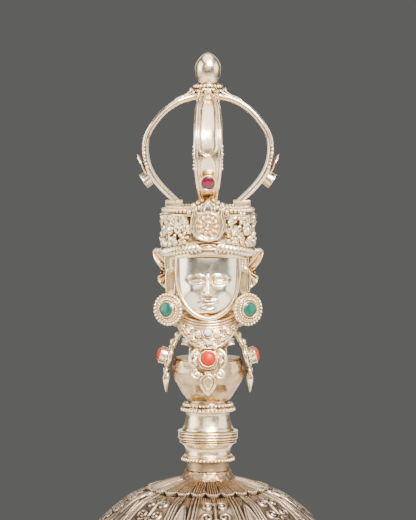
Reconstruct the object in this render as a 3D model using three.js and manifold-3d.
// A Tibetan ritual hand bell. A cast bell holds a clapper on a ring link. Its silver handle is a stack of
// turned rings, a vase with four coral pendants, a crowned head, and a half vajra whose four prongs close
// under a bud.
// Millimetres, +Z up. The origin is the centre of the bell's mouth, and the face looks towards -Y.
import * as THREE from "three";
import { mergeVertices } from "three/addons/utils/BufferGeometryUtils.js";
import Module from "manifold-3d";

const wasm = await Module();
wasm.setup();

// ---------------------------------------------------------------- driving dimensions

const crownHeight = 84; // top of the bell, where the handle starts
const mouthRadius = 49.5;
const lipWidth = 3.5;
const boltRadius = 2;
const boltHole = boltRadius + 0.15;
const faceGap = 0.2; // between pieces that are soldered or rest on each other
const cutGap = 0.3; // round a piece that is cut to its neighbour
const touchGap = 0.02; // between pieces that bear on each other

const roundSegments = 24;
const bellSegments = 36;
const smallSegments = 12;
const cupSegments = 16;

// Heights of the handle's joints, from the bell up.
const collarTop = 86.9;
const lowerNeckTop = 89.6;
const lowerBeadTop = 90.8;
const lowerSleeveTop = 94.6;
const lowerRidgeTop = 95.8;
const upperRidgeTop = 98.2;
const upperSleeveTop = 103.5;
const wideBeadTop = 104.8;
const narrowBeadTop = 106;
const bowlTop = 118.1;
const shoulderTop = 118.7;
const vaseNeckTop = 121.8;
const flangeTop = 123;
const neckSleeveTop = 126.8;
const bandBottom = 147.3;
const bandTop = 151.3;
const drumTop = 158.3;
const plateBottom = drumTop + faceGap;
const plateTop = 160.7;
const socketTop = 162.6;
const hubBottom = 189.9;
const hubTop = 193.6;
const topBeadTop = 195.1;
const budTip = 203.9;

const sleeveRadius = 5.7; // the head's neck, which the pendants are soldered to
const leafThickness = 1.2;
const bandRadius = 11.4;
const leafSeat = bandRadius + faceGap;
const frontLeafSeat = 12.1;
const earringRadius = 4.6;
const earringTurn = THREE.MathUtils.degToRad(30);
const earringPlace = new THREE.Vector3(10.8, -6.7, 132.6);
const earringDepth = 1.1;

// The clapper's three rings: the eye on the bolt, the link, and the clapper's own eye.
const eyeCentre = 69.5;
const eyeRadius = 3;
const eyeWire = 1;
const linkRadius = 3.4;
const linkWire = 0.85;
const clapperEyeRadius = 2.2;
const clapperEyeWire = 0.8;
const ringPlay = 0.4;
const linkCentre = eyeCentre - eyeRadius + eyeWire + ringPlay - linkRadius + linkWire;
const clapperEyeCentre = linkCentre - linkRadius + linkWire + ringPlay - clapperEyeRadius + clapperEyeWire;
const bobCentre = 14.5;
const bobRadius = 6.2;

// ---------------------------------------------------------------- materials

const metal = (color, roughness) => new THREE.MeshStandardMaterial({ color, roughness, metalness: 1 });
const gem = (color, roughness) => new THREE.MeshStandardMaterial({ color, roughness, metalness: 0 });
const silver = metal(0xe0d4c0, 0.3);
const bellMetal = metal(0x9c8d79, 0.42);
const iron = metal(0x6d6459, 0.5);
const brass = metal(0xb08d4f, 0.4);
const ruby = gem(0x9c1538, 0.15);
const emerald = gem(0x1f8468, 0.2);
const coral = gem(0xe4452b, 0.35);
const pearl = gem(0xece9e2, 0.2);

// ---------------------------------------------------------------- helpers

const part = new THREE.Group();

function add(name, geometry, material, turn = 0) {
  const mesh = new THREE.Mesh(geometry, material);
  mesh.name = name;
  mesh.rotation.z = turn;
  part.add(mesh);
  return mesh;
}

// A turned piece about Z. The profile runs anticlockwise in (radius, height), from axis to axis or round
// a bore.
function turned(profile, segments = roundSegments) {
  const points = profile.map(([radius, height]) => new THREE.Vector2(radius, height));
  if (points[0].x > 0) points.push(points[0].clone());
  return new THREE.LatheGeometry(points, segments).rotateX(Math.PI / 2);
}

// A smooth line through a few (radius, height) points, sampled into a profile.
function smooth(points, count) {
  const line = new THREE.SplineCurve(points.map(([x, y]) => new THREE.Vector2(x, y)));
  return line.getPoints(count).map((point) => [point.x, point.y]);
}

function toSolid(geometry) {
  const bare = geometry.index ? geometry.toNonIndexed() : geometry.clone();
  bare.deleteAttribute("normal");
  bare.deleteAttribute("uv");
  const merged = mergeVertices(bare, 1e-4);
  return new wasm.Manifold(
    new wasm.Mesh({
      numProp: 3,
      vertProperties: merged.attributes.position.array,
      triVerts: new Uint32Array(merged.index.array),
    }),
  );
}

function toGeometry(solid) {
  const mesh = solid.getMesh();
  const geometry = new THREE.BufferGeometry();
  geometry.setAttribute("position", new THREE.BufferAttribute(new Float32Array(mesh.vertProperties), 3));
  geometry.setIndex(new THREE.BufferAttribute(new Uint32Array(mesh.triVerts), 1));
  geometry.computeVertexNormals();
  return geometry;
}

function joined(...geometries) {
  return toGeometry(geometries.map(toSolid).reduce((all, one) => all.add(one)));
}

function cut(geometry, ...cutters) {
  return toGeometry(cutters.map(toSolid).reduce((rest, cutter) => rest.subtract(cutter), toSolid(geometry)));
}

function common(first, second) {
  return toGeometry(toSolid(first).intersect(toSolid(second)));
}

function box(low, high) {
  const [dx, dy, dz] = high.map((value, axis) => value - low[axis]);
  const centre = high.map((value, axis) => (value + low[axis]) / 2);
  return new THREE.BoxGeometry(dx, dy, dz).translate(...centre);
}

function outline(points) {
  return new THREE.Shape(points.map(([x, y]) => new THREE.Vector2(x, y)));
}

// A flat plate standing upright. Its outline is in (x, z), and it reaches from y = back to
// y = back - thickness.
function uprightPlate(shape, thickness, back, curveSegments = 6) {
  const settings = { depth: thickness, bevelEnabled: false, curveSegments };
  return new THREE.ExtrudeGeometry(shape, settings).rotateX(Math.PI / 2).translate(0, back, 0);
}

// A strip that follows a line in the XZ plane. Its section is drawn in (width, outwards), and its width is
// set by height.
function sweptStrip(line, section, widthShare, steps) {
  const points = line.map(([radius, height]) => new THREE.Vector3(radius, 0, height));
  const path = new THREE.CatmullRomCurve3(points);
  const geometry = new THREE.ExtrudeGeometry(outline(section), { extrudePath: path, steps });
  const place = geometry.attributes.position;
  for (let i = 0; i < place.count; i += 1) {
    place.setY(i, place.getY(i) * widthShare(place.getZ(i)));
  }
  return geometry;
}

// A straight-line table of (height, value), read at a height.
function tableAt(table, height) {
  const above = table.findIndex(([level]) => height <= level);
  if (above === 0) return table[0][1];
  if (above < 0) return table[table.length - 1][1];
  const [lowHeight, lowValue] = table[above - 1];
  const [highHeight, highValue] = table[above];
  return THREE.MathUtils.mapLinear(height, lowHeight, highHeight, lowValue, highValue);
}

const sides = { right: 0, back: Math.PI / 2, left: Math.PI, front: -Math.PI / 2 };

// ---------------------------------------------------------------- bell

const bellOuter = [
  [mouthRadius, 1.2],
  [46.5, 6.5],
  [41.5, 22],
  [38.6, 38],
  [37.2, 54],
  [33.5, 67.5],
  [26.5, 76],
  [17.2, 81.2],
];
const bellInner = [
  [7.5, 79.6],
  [14, 78.4],
  [23.5, 73.5],
  [30.6, 65.5],
  [34.2, 54],
  [35.8, 38],
  [38.6, 22],
  [mouthRadius - lipWidth, 0],
];
const petalDiscEdge = [
  [17.2, 82.1],
  [7.8, crownHeight],
  [boltHole, crownHeight],
  [boltHole, 79.6],
];
const bellProfile = [[mouthRadius, 0], ...smooth(bellOuter, 9), ...petalDiscEdge, ...smooth(bellInner, 8)];
add("bell_body", turned(bellProfile, bellSegments), bellMetal);

// ---------------------------------------------------------------- stack of rings above the bell

const washerBottom = 78.4;
const washerTop = 79.5;
add(
  "crown_washer",
  turned([[boltHole, washerBottom], [6.5, washerBottom], [6.5, washerTop], [boltHole, washerTop]]),
  brass,
);

const collarBottom = crownHeight + touchGap;
add(
  "base_collar",
  turned([
    [boltHole, collarBottom],
    [7.85, collarBottom],
    [7.2, 85],
    [6.5, 85.9],
    [6.2, collarTop],
    [boltHole, collarTop],
  ]),
  silver,
);
add(
  "lower_neck",
  turned([[4.7, collarTop], [5.9, collarTop], [5.9, lowerNeckTop], [4.7, lowerNeckTop]]),
  silver,
);

// A ring with a ridged edge, bored for the bolt.
function ridgedRing(bottom, top, shoulderRadius, edgeRadius) {
  const middle = (bottom + top) / 2;
  return turned([
    [boltHole, bottom],
    [shoulderRadius, bottom],
    [edgeRadius, middle - 0.25],
    [edgeRadius, middle + 0.25],
    [shoulderRadius, top],
    [boltHole, top],
  ]);
}
add("lower_bead_ring", ridgedRing(lowerNeckTop, lowerBeadTop, 7.1, 7.7), silver);
add(
  "lower_sleeve",
  turned([
    [5.1, lowerBeadTop],
    [6.3, lowerBeadTop],
    [6.3, 92.6],
    [6.7, 93.8],
    [7.9, lowerSleeveTop],
    [5.1, lowerSleeveTop],
  ]),
  silver,
);
add("lower_ridge_ring", ridgedRing(lowerSleeveTop, lowerRidgeTop, 7.9, 8.25), silver);
add("upper_ridge_ring", ridgedRing(lowerRidgeTop, upperRidgeTop, 8.1, 8.55), silver);
add(
  "upper_sleeve",
  turned([
    [5.1, upperRidgeTop],
    [7.35, upperRidgeTop],
    [6.6, 100.3],
    [6.2, 102.4],
    [6.2, upperSleeveTop],
    [5.1, upperSleeveTop],
  ]),
  silver,
);
add("wide_bead_ring", ridgedRing(upperSleeveTop, wideBeadTop, 7.1, 7.8), silver);
add("narrow_bead_ring", ridgedRing(wideBeadTop, narrowBeadTop, 6.5, 7.2), silver);

// ---------------------------------------------------------------- vase

const bowlOutside = [[5.6, 106.9], [6.9, 108.7], [8.4, 110.8], [9.7, 113], [9.95, 115.2], [9.4, bowlTop]];
const bowlInside = [[8.6, bowlTop], [9.1, 115.2], [8.8, 113.2], [7.6, 111.2], [4.8, 108]];
add(
  "vase_bowl",
  turned([
    [boltHole, narrowBeadTop],
    [5.9, narrowBeadTop],
    [5.9, 106.6],
    ...smooth(bowlOutside, 6),
    ...smooth(bowlInside, 4),
    [boltHole, 108],
  ]),
  silver,
);
const vaseBore = 4.2;
add(
  "vase_shoulder",
  turned([[vaseBore, bowlTop], [9.2, bowlTop], [9.1, shoulderTop], [vaseBore, shoulderTop]]),
  silver,
);
add(
  "vase_neck",
  turned([[vaseBore, shoulderTop], [5, shoulderTop], [5, vaseNeckTop], [vaseBore, vaseNeckTop]]),
  silver,
);

// The flange carries four rounded tongues on the diagonals.
const tongueReach = 10.2;
const tongueHalfWidth = 1.5;
const flangeDisc = turned([[3, vaseNeckTop], [6.2, vaseNeckTop], [6.2, flangeTop], [3, flangeTop]]);
function flangeTongue(turn) {
  const shape = new THREE.Shape()
    .moveTo(4.5, -tongueHalfWidth)
    .lineTo(tongueReach - tongueHalfWidth, -tongueHalfWidth)
    .absarc(tongueReach - tongueHalfWidth, 0, tongueHalfWidth, -Math.PI / 2, Math.PI / 2)
    .lineTo(4.5, tongueHalfWidth);
  const settings = { depth: flangeTop - vaseNeckTop, bevelEnabled: false, curveSegments: 6 };
  return new THREE.ExtrudeGeometry(shape, settings).translate(0, 0, vaseNeckTop).rotateZ(turn);
}
const tongues = Object.values(sides).map((turn) => flangeTongue(turn + Math.PI / 4));
add("tongue_flange", joined(flangeDisc, ...tongues), silver);

const nutHeight = 2.9;
const nutBottom = 108.05;
const hexBlank = new THREE.CylinderGeometry(3.6, 3.6, nutHeight, 6);
hexBlank.rotateX(Math.PI / 2).translate(0, 0, nutBottom + nutHeight / 2);
const nutBore = new THREE.CylinderGeometry(boltHole, boltHole, 2 * nutHeight, smallSegments);
nutBore.rotateX(Math.PI / 2).translate(0, 0, nutBottom + nutHeight / 2);
add("vase_nut", cut(hexBlank, nutBore), brass);

// ---------------------------------------------------------------- stones in bezel cups

// A bezel cup about Z with its floor at 0, and the stone that sits in it.
function bezelCup(baseRadius, rimRadius, height) {
  const wall = 0.35;
  const floor = 1;
  const outside = [[0, 0], [baseRadius, 0], [rimRadius, height]];
  const inside = [[rimRadius - wall, height], [baseRadius - wall, floor], [0, floor]];
  return turned([...outside, ...inside], cupSegments);
}
function stone(radius, bottom, girdle, crown, tableRadius) {
  const profile = [[0, bottom], [radius * 0.7, bottom], [radius, girdle], [tableRadius, crown], [0, crown]];
  return turned(profile, smallSegments);
}

// ---------------------------------------------------------------- pendants

const pendantLine = [
  [5.2, 125.9],
  [7.4, 124.9],
  [9, 122.8],
  [10.4, 119.8],
  [11.3, 116.6],
  [11.8, 113.4],
  [11.8, 109.3],
];
const pendantHalfWidths = [
  [109, 0.5],
  [110.6, 2.2],
  [112.5, 2.65],
  [114.2, 2],
  [115.2, 4.4],
  [118.5, 5],
  [121.4, 3.6],
  [122.6, 1.5],
  [126.5, 1.5],
];
const pendantThickness = 1.3;
const pendantSection = [
  [-1, -pendantThickness / 2],
  [1, -pendantThickness / 2],
  [1, pendantThickness / 2],
  [-1, pendantThickness / 2],
];
const coralSeat = { radius: 10.9, height: 118.8, tilt: THREE.MathUtils.degToRad(-16) };
const coralCup = [2.3, 2.55, 2.5]; // base radius, rim radius, height
const coralStone = [2.05, 1.3, 2.1, 3.1, 0.9]; // radius, bottom, girdle, crown, table radius

// Turns a piece built about Z so that it stands on a seat on the +X side, tilted down by the seat's angle.
function onSeat(geometry, seat) {
  return geometry.rotateY(Math.PI / 2 + seat.tilt).translate(seat.radius, 0, seat.height);
}

const sleeveRoom = sleeveRadius + faceGap;
const sleeveCutter = turned([[0, 115], [sleeveRoom, 115], [sleeveRoom, 130], [0, 130]]);
const pendantStrip = sweptStrip(pendantLine, pendantSection, (z) => tableAt(pendantHalfWidths, z), 15);
const pendantPlate = cut(pendantStrip, sleeveCutter);
const pendant = joined(pendantPlate, onSeat(bezelCup(...coralCup), coralSeat));
for (const [side, turn] of Object.entries(sides)) {
  add(`pendant_${side}`, pendant, silver, turn);
  add(`coral_${side}`, onSeat(stone(...coralStone), coralSeat), coral, turn);
}

// ---------------------------------------------------------------- head

add(
  "neck_sleeve",
  turned([[4.5, flangeTop], [sleeveRadius, flangeTop], [sleeveRadius, neckSleeveTop], [4.5, neckSleeveTop]]),
  silver,
);

// The head's own form: chest disc, neck, jaw and skull, and the wrapped hair inside the crown.
const chestRadius = 8.1;
function headForm(grown) {
  return [
    [chestRadius + grown, 127.2],
    [chestRadius + grown, 128.6],
    [6.6 + grown, 129.4],
    [7.6 + grown, 131.5],
    [8.6 + grown, 135],
    [9 + grown, 140],
    [9 + grown, 146.5],
    [8.8 + grown, drumTop],
  ];
}
const headBore = 3.2;
const headFoot = [[headBore, neckSleeveTop], [sleeveRadius, neckSleeveTop]];
const headBody = turned([...headFoot, ...headForm(0), [headBore, drumTop]]);
const ears = [-1, 1].map((side) =>
  new THREE.SphereGeometry(1, 12, 8).scale(1.6, 1.9, 4).translate(side * 9.7, -1.6, 140.6),
);
add("head_core", joined(headBody, ...ears), silver);

// The face mask: a shield cut from a rounded form, hollowed to the head.
const faceHalfWidth = 8.1;
const chinHeight = 130.8;
const faceShield = new THREE.Shape()
  .moveTo(-faceHalfWidth, bandBottom - 0.1)
  .lineTo(-faceHalfWidth - 0.1, 141)
  .bezierCurveTo(-faceHalfWidth - 0.1, 135, -4.5, chinHeight, 0, chinHeight)
  .bezierCurveTo(4.5, chinHeight, faceHalfWidth + 0.1, 135, faceHalfWidth + 0.1, 141)
  .lineTo(faceHalfWidth, bandBottom - 0.1);
const faceRound = new THREE.SphereGeometry(1, 24, 16).scale(9.6, 10.6, 15).translate(0, -0.5, 141);
const headCutter = turned([[0, 126], ...headForm(cutGap), [0, drumTop]]);
const earCutters = ears.map((ear) => ear.clone().translate(0, 0.3, 0));
const faceBlank = common(uprightPlate(faceShield, 9, -3, 10), faceRound);
add("face_mask", cut(faceBlank, headCutter, ...earCutters), silver);

// ---------------------------------------------------------------- necklace

const collarTopHeight = 130;
const collarLow = 127.8;
const bibBottom = 122.2;
const bibThickness = 1.2;
const bibInnerTop = 8.35;
const bibInnerBottom = 10.7;
const bibShell = turned([
  [bibInnerBottom, bibBottom],
  [bibInnerBottom + bibThickness, bibBottom],
  [bibInnerTop + bibThickness, collarTopHeight],
  [bibInnerTop, collarTopHeight],
]);
const bibOutline = outline([
  [-10.6, collarLow],
  [-8.9, 126.2],
  [-7.2, 124.4],
  [-4.8, 123],
  [-2.2, bibBottom],
  [2.2, bibBottom],
  [4.8, 123],
  [7.2, 124.4],
  [8.9, 126.2],
  [10.6, collarLow],
  [10.6, 128.4],
  [-10.6, 128.4],
]);
const collarBand = common(bibShell, box([-14, -14, collarLow], [14, 14, collarTopHeight + 1]));
const bibFront = common(bibShell, uprightPlate(bibOutline, 14, -0.01));
const pearlRadius = 1.15;
const pearlPlace = [0, -10.95, 126.6];
const pearlSeat = new THREE.SphereGeometry(pearlRadius + faceGap, 12, 8).translate(...pearlPlace);
add("necklace", cut(joined(collarBand, bibFront), pearlSeat), silver);
add("necklace_pearl", new THREE.SphereGeometry(pearlRadius, 12, 8).translate(...pearlPlace), pearl);

// ---------------------------------------------------------------- ear ribbons and earrings

const ribbonPoints = [
  [9.3, 145.2],
  [10.2, 144.4],
  [11.2, 142],
  [11.4, 137.6],
  [12.4, 137.2],
  [14.2, 138.6],
  [13.9, 140.5],
  [13.2, 142.2],
  [15.6, 145.8],
  [15.3, 148.4],
  [12.5, 149.2],
  [11.7, 147],
  [9.3, 147],
];
const ribbonThickness = 1.8;
const ribbonFront = 0.7;

function earringDisc() {
  const edge = [[earringRadius, 0], [earringRadius, 0.7], [earringRadius - 0.5, earringDepth]];
  const plate = turned([[0, 0], ...edge, [0, earringDepth]]);
  const cup = bezelCup(2.4, 2.4, 1.8).translate(0, 0, 0.8);
  return joined(plate, cup);
}
function hung(geometry, side) {
  const placed = geometry.rotateX(Math.PI / 2).rotateZ(side * earringTurn);
  return placed.translate(side * earringPlace.x, earringPlace.y, earringPlace.z);
}
for (const [name, side] of [["left", -1], ["right", 1]]) {
  const points = ribbonPoints.map(([x, z]) => [side * x, z]);
  const ribbon = uprightPlate(outline(points), ribbonThickness, ribbonFront + ribbonThickness);
  add(`ear_ribbon_${name}`, ribbon, silver);
  add(`earring_${name}`, hung(earringDisc(), side), silver);
  add(`emerald_${name}`, hung(stone(1.9, 1.85, 2.4, 3, 1.2), side), emerald);
}

// ---------------------------------------------------------------- crown

const bandInner = 9.3;
const crownBand = turned([
  [bandInner, bandBottom],
  [10.9, bandBottom],
  [11, 148.6],
  [bandRadius, 149.2],
  [bandRadius, 150.7],
  [11, bandTop],
  [bandInner, bandTop],
]);
add("crown_band", crownBand, silver);

// A crown leaf standing at the origin, and the round boss of its medallion.
function crownLeaf(halfWidth, shoulderHeight, tipHeight, bossHeight) {
  const low = 0.2 * shoulderHeight;
  const middle = 0.6 * shoulderHeight;
  const shape = new THREE.Shape()
    .moveTo(-0.6 * halfWidth, 0)
    .lineTo(0.6 * halfWidth, 0)
    .bezierCurveTo(halfWidth, low, 1.1 * halfWidth, middle, 0.85 * halfWidth, shoulderHeight)
    .lineTo(0.3 * halfWidth, shoulderHeight + 0.3)
    .lineTo(0, tipHeight)
    .lineTo(-0.3 * halfWidth, shoulderHeight + 0.3)
    .lineTo(-0.85 * halfWidth, shoulderHeight)
    .bezierCurveTo(-1.1 * halfWidth, middle, -halfWidth, low, -0.6 * halfWidth, 0);
  const plate = uprightPlate(shape, leafThickness, 0);
  const boss = new THREE.CylinderGeometry(0.45 * halfWidth, 0.5 * halfWidth, 0.7, smallSegments);
  boss.rotateX(Math.PI).translate(0, -leafThickness - 0.3, bossHeight);
  return joined(plate, boss);
}
const leafBottom = 150.9;
const leafTurns = { front_right: 60, back_right: 120, back_left: -120, front_left: -60 };
add("crown_leaf_front", crownLeaf(5, 8.2, 12.2, 4.6).translate(0, -frontLeafSeat, leafBottom), silver);
const sideLeaf = crownLeaf(5.6, 6.6, 7.3, 3.6).translate(0, -leafSeat, leafBottom);
for (const [side, degrees] of Object.entries(leafTurns)) {
  add(`crown_leaf_${side}`, sideLeaf, silver, THREE.MathUtils.degToRad(degrees));
}

const socketInner = 7.2;
const socketOuter = 11.7;
const socketHalfWidth = 2.4;
const plateRound = turned([
  [0, plateBottom],
  [12.4, plateBottom],
  [12.8, 159.3],
  [12.8, plateTop],
  [0, plateTop],
]);
const socketLow = [socketInner, -socketHalfWidth, plateTop - 0.5];
const socketHigh = [socketOuter, socketHalfWidth, socketTop];
const plateSockets = Object.values(sides).map((turn) => box(socketLow, socketHigh).rotateZ(turn));
const plateFlat = box([-14, -14, plateBottom - 1], [14, -frontLeafSeat + faceGap, socketTop + 1]);
add("crown_plate", cut(joined(plateRound, ...plateSockets), plateFlat), silver);

// ---------------------------------------------------------------- half vajra

const bulgeHeight = 178;
const prongLine = [
  [9.3, 161],
  [13.2, 165.9],
  [16.7, 171.9],
  [17.5, bulgeHeight],
  [14.9, 184.3],
  [9.6, 188.9],
  [2.9, 191.6],
];
const prongHalfWidth = 3.95;
const prongBack = -0.85;
const prongRim = 0.85;
const rimWidth = 0.9;
const grooveDepth = 0.8;
const prongSection = [
  [-prongHalfWidth, prongBack],
  [prongHalfWidth, prongBack],
  [prongHalfWidth, prongRim],
  [prongHalfWidth - rimWidth, prongRim],
  [prongHalfWidth - 1.5 * rimWidth, prongRim - grooveDepth],
  [-prongHalfWidth + 1.5 * rimWidth, prongRim - grooveDepth],
  [-prongHalfWidth + rimWidth, prongRim],
  [-prongHalfWidth, prongRim],
];
const prongShare = (z) => 1 - ((z - bulgeHeight) / 24) ** 2;
const rubySeat = { radius: 15.5, height: 169.5, tilt: THREE.MathUtils.degToRad(36) };
const rubyCup = [2, 2.3, 3];
const rubyStone = [1.75, 1.3, 2.4, 3.1, 1.1];
const flameLeafSeat = { radius: 16.7, height: 172.6 };

const socketCutter = box([0, -8, 150], [20, 8, socketTop + faceGap]);
const hubRadius = 3.8;
const hubCutter = turned([[0, 180], [hubRadius + faceGap, 180], [hubRadius + faceGap, 200], [0, 200]]);
const prongStrip = cut(sweptStrip(prongLine, prongSection, prongShare, 14), socketCutter, hubCutter);

// The flame leaf above each ruby: it rises from the groove and curls away from the prong.
const flameLeaf = outline([[0, 0], [0.9, -0.3], [2.3, 3.6], [2.2, 4.6], [1.1, 3.4]]);
const flameLeafSolid = uprightPlate(flameLeaf, 3, 1.5);
flameLeafSolid.translate(flameLeafSeat.radius, 0, flameLeafSeat.height);
const prong = joined(prongStrip, onSeat(bezelCup(...rubyCup), rubySeat), flameLeafSolid);
for (const [side, turn] of Object.entries(sides)) {
  add(`prong_${side}`, prong, silver, turn);
  add(`ruby_${side}`, onSeat(stone(...rubyStone), rubySeat), ruby, turn);
}

const postBottom = plateTop + touchGap;
const postTop = hubBottom - touchGap;
const postFoot = [[0, postBottom], [2.6, postBottom]];
const postLine = [[2.2, 161.7], [1.5, 167], [1.6, 173], [2.4, 176], [1.6, 179], [1.5, 184], [2.1, 189.4]];
const postHead = [[2.3, postTop], [0, postTop]];
add("centre_post", turned([...postFoot, ...smooth(postLine, 10), ...postHead], smallSegments), silver);

add(
  "vajra_hub",
  turned([[0, hubBottom], [3.2, hubBottom], [hubRadius, 190.8], [hubRadius, hubTop], [0, hubTop]]),
  silver,
);
add(
  "top_bead_ring",
  turned([[0, hubTop], [3.7, hubTop], [4.2, 194.35], [3.7, topBeadTop], [0, topBeadTop]]),
  silver,
);
const budLine = [[2.8, topBeadTop], [3.3, 197.3], [3.5, 199.4], [2.9, 201.2], [1.1, 203.2], [0, budTip]];
add("finial_bud", turned([[0, topBeadTop], ...smooth(budLine, 8)]), silver);

// ---------------------------------------------------------------- bolt and clapper

const flangeLow = 76.9;
const boltTop = 111.8;
const boltShank = turned(
  [
    [0, 72.2],
    [boltRadius, 72.2],
    [boltRadius, flangeLow],
    [5.5, flangeLow],
    [5.5, washerBottom],
    [boltRadius, washerBottom],
    [boltRadius, boltTop],
    [0, boltTop],
  ],
  smallSegments,
);
const boltEye = new THREE.TorusGeometry(eyeRadius, eyeWire, 8, 20);
boltEye.rotateX(Math.PI / 2).translate(0, 0, eyeCentre);
add("eye_bolt", joined(boltShank, boltEye), iron);

const link = new THREE.TorusGeometry(linkRadius, linkWire, 8, 20);
link.rotateY(Math.PI / 2).translate(0, 0, linkCentre);
add("clapper_link", link, iron);

const stemTop = clapperEyeCentre - clapperEyeRadius;
const bobTop = bobCentre + bobRadius + 0.6;
const bobNeck = 2.4;
const stemPin = 1.5;
const stemEnd = 7.8;
const stemShank = turned(
  [
    [0, stemEnd],
    [stemPin, stemEnd],
    [stemPin, bobTop + touchGap],
    [bobNeck, bobTop + touchGap],
    [2.1, 26],
    [1.3, 44],
    [1.2, stemTop],
    [0, stemTop],
  ],
  smallSegments,
);
const clapperEye = new THREE.TorusGeometry(clapperEyeRadius, clapperEyeWire, 8, 16);
clapperEye.rotateX(Math.PI / 2).translate(0, 0, clapperEyeCentre);
add("clapper_stem", joined(stemShank, clapperEye), iron);

const bobBore = stemPin + 0.1;
const bobSide = [];
for (let step = 0; step <= 8; step += 1) {
  const angle = THREE.MathUtils.degToRad(-70 + (140 * step) / 8);
  bobSide.push([bobRadius * Math.cos(angle), bobCentre + bobRadius * Math.sin(angle)]);
}
const bobProfile = [[bobBore, bobSide[0][1]], ...bobSide, [bobNeck, bobTop], [bobBore, bobTop]];
add("clapper_bob", turned(bobProfile), iron);

export default part;
